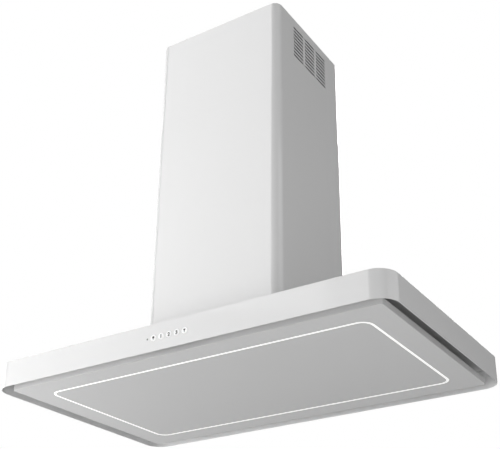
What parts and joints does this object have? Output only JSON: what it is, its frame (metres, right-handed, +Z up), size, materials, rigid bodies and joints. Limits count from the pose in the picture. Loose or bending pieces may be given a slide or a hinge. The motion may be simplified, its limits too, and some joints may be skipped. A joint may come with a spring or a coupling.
{
  "type": "island range hood",
  "caption": "White flat-canopy island cooker hood with perimeter suction panel, lit rectangular line, push buttons and telescopic chimney with side vent grids.",
  "frame": {"origin": "middle of the ceiling plate's top face, where the hood meets the ceiling", "axes": "+X along the canopy's length, -Y towards the control side, +Z up into the ceiling"},
  "size_m": [1, 0.6008, 0.93],
  "materials": {
    "white_enamel": "smooth satin powder coat, white",
    "panel_enamel": "smooth satin powder coat, white, slightly greyer than the border",
    "liner_enamel": "matt dark grey coat",
    "zinc_steel": "zinc-plated sheet and fasteners",
    "filter_aluminium": "layered aluminium mesh in a rolled frame",
    "anodised": "anodised extrusion",
    "black_plastic": "fine-grained moulded plastic",
    "grey_plastic": "fine-grained moulded plastic",
    "button_white": "polished moulded plastic",
    "opal_guide": "opal light guide, lit",
    "led_white": "white strip with small lenses",
    "indicator_grey": "clear grey lens",
    "board_green": "lacquered circuit board",
    "motor_metal": "grey painted motor can"
  },
  "bodies": {
    "ceiling_mount": {"ceiling_plate": "zinc_steel", "upper_frame": "zinc_steel", "upper_chimney": "white_enamel", "cover_screws": "zinc_steel", "air_outlet_box": "grey_plastic", "outlet_sleeves": "grey_plastic"},
    "canopy": {"canopy_band": "white_enamel", "canopy_top": "white_enamel", "suction_liner": "liner_enamel", "filter_rails": "zinc_steel", "grease_filter_left": "filter_aluminium", "grease_filter_centre": "filter_aluminium", "grease_filter_right": "filter_aluminium", "lower_frame": "zinc_steel", "clamp_screws": "zinc_steel", "base_screws": "zinc_steel", "extractor_box": "zinc_steel", "blower_scroll": "grey_plastic", "motor_bracket": "zinc_steel", "motor": "motor_metal", "outlet_collar": "black_plastic", "damper_pins": "zinc_steel", "control_box": "grey_plastic", "led_driver": "button_white", "cable_gland": "black_plastic", "hinge_brackets": "zinc_steel", "hinge_pins": "zinc_steel", "magnet_catches": "black_plastic", "switch_housing": "black_plastic", "switch_board": "board_green", "indicator_lens": "indicator_grey"},
    "lower_cover": {"lower_chimney": "white_enamel"},
    "suction_panel": {"panel_border": "white_enamel", "centre_panel": "panel_enamel", "panel_stiffeners": "zinc_steel", "light_channel": "anodised", "light_guide": "opal_guide", "led_strips": "led_white", "hinge_leaves": "zinc_steel", "catch_strikers": "zinc_steel"},
    "impeller": {"blower_impeller": "black_plastic", "motor_shaft": "zinc_steel"},
    "flap_left": {"damper_flap_left": "grey_plastic"},
    "flap_right": {"damper_flap_right": "grey_plastic"},
    "light_button": {"button_light": "button_white"},
    "speed_one_button": {"button_speed_one": "button_white"},
    "speed_two_button": {"button_speed_two": "button_white"},
    "speed_three_button": {"button_speed_three": "button_white"},
    "timer_button": {"button_timer": "button_white"},
    "left_latch": {"latch_left": "black_plastic"},
    "centre_latch": {"latch_centre": "black_plastic"},
    "right_latch": {"latch_right": "black_plastic"}
  },
  "joints": [
    {"name": "height_adjust", "type": "slide", "parent": "ceiling_mount", "child": "canopy", "axis": [0, 0, 1], "range_m": [-0.15, 0.11]},
    {"name": "cover_lift", "type": "slide", "parent": "canopy", "child": "lower_cover", "axis": [0, 0, 1], "range_m": [0, 0.12]},
    {"name": "panel_hinge", "type": "hinge", "parent": "canopy", "child": "suction_panel", "pos_m": [0, 0.252, -0.9164], "axis": [1, 0, 0], "range_deg": [0, 88]},
    {"name": "impeller_spin", "type": "hinge", "parent": "canopy", "child": "impeller", "pos_m": [-0.05678, 0, -0.729], "axis": [0, 1, 0], "continuous": true},
    {"name": "flap_left_lift", "type": "hinge", "parent": "canopy", "child": "flap_left", "pos_m": [-0.004, 0, -0.557], "axis": [0, 1, 0], "range_deg": [0, 75]},
    {"name": "flap_right_lift", "type": "hinge", "parent": "canopy", "child": "flap_right", "pos_m": [0.004, 0, -0.557], "axis": [0, -1, 0], "range_deg": [0, 75]},
    {"name": "button_light_press", "type": "slide", "parent": "canopy", "child": "light_button", "axis": [0, 1, 0], "range_m": [0, 0.0015], "stiffness_N_per_m": 500, "springref_m": -0.001},
    {"name": "button_speed_one_press", "type": "slide", "parent": "canopy", "child": "speed_one_button", "axis": [0, 1, 0], "range_m": [0, 0.0015], "stiffness_N_per_m": 500, "springref_m": -0.001},
    {"name": "button_speed_two_press", "type": "slide", "parent": "canopy", "child": "speed_two_button", "axis": [0, 1, 0], "range_m": [0, 0.0015], "stiffness_N_per_m": 500, "springref_m": -0.001},
    {"name": "button_speed_three_press", "type": "slide", "parent": "canopy", "child": "speed_three_button", "axis": [0, 1, 0], "range_m": [0, 0.0015], "stiffness_N_per_m": 500, "springref_m": -0.001},
    {"name": "button_timer_press", "type": "slide", "parent": "canopy", "child": "timer_button", "axis": [0, 1, 0], "range_m": [0, 0.0015], "stiffness_N_per_m": 500, "springref_m": -0.001},
    {"name": "latch_left_slide", "type": "slide", "parent": "canopy", "child": "left_latch", "axis": [0, 1, 0], "range_m": [0, 0.006], "stiffness_N_per_m": 300, "springref_m": -0.004},
    {"name": "latch_centre_slide", "type": "slide", "parent": "canopy", "child": "centre_latch", "axis": [0, 1, 0], "range_m": [0, 0.006], "stiffness_N_per_m": 300, "springref_m": -0.004},
    {"name": "latch_right_slide", "type": "slide", "parent": "canopy", "child": "right_latch", "axis": [0, 1, 0], "range_m": [0, 0.006], "stiffness_N_per_m": 300, "springref_m": -0.004}
  ]
}
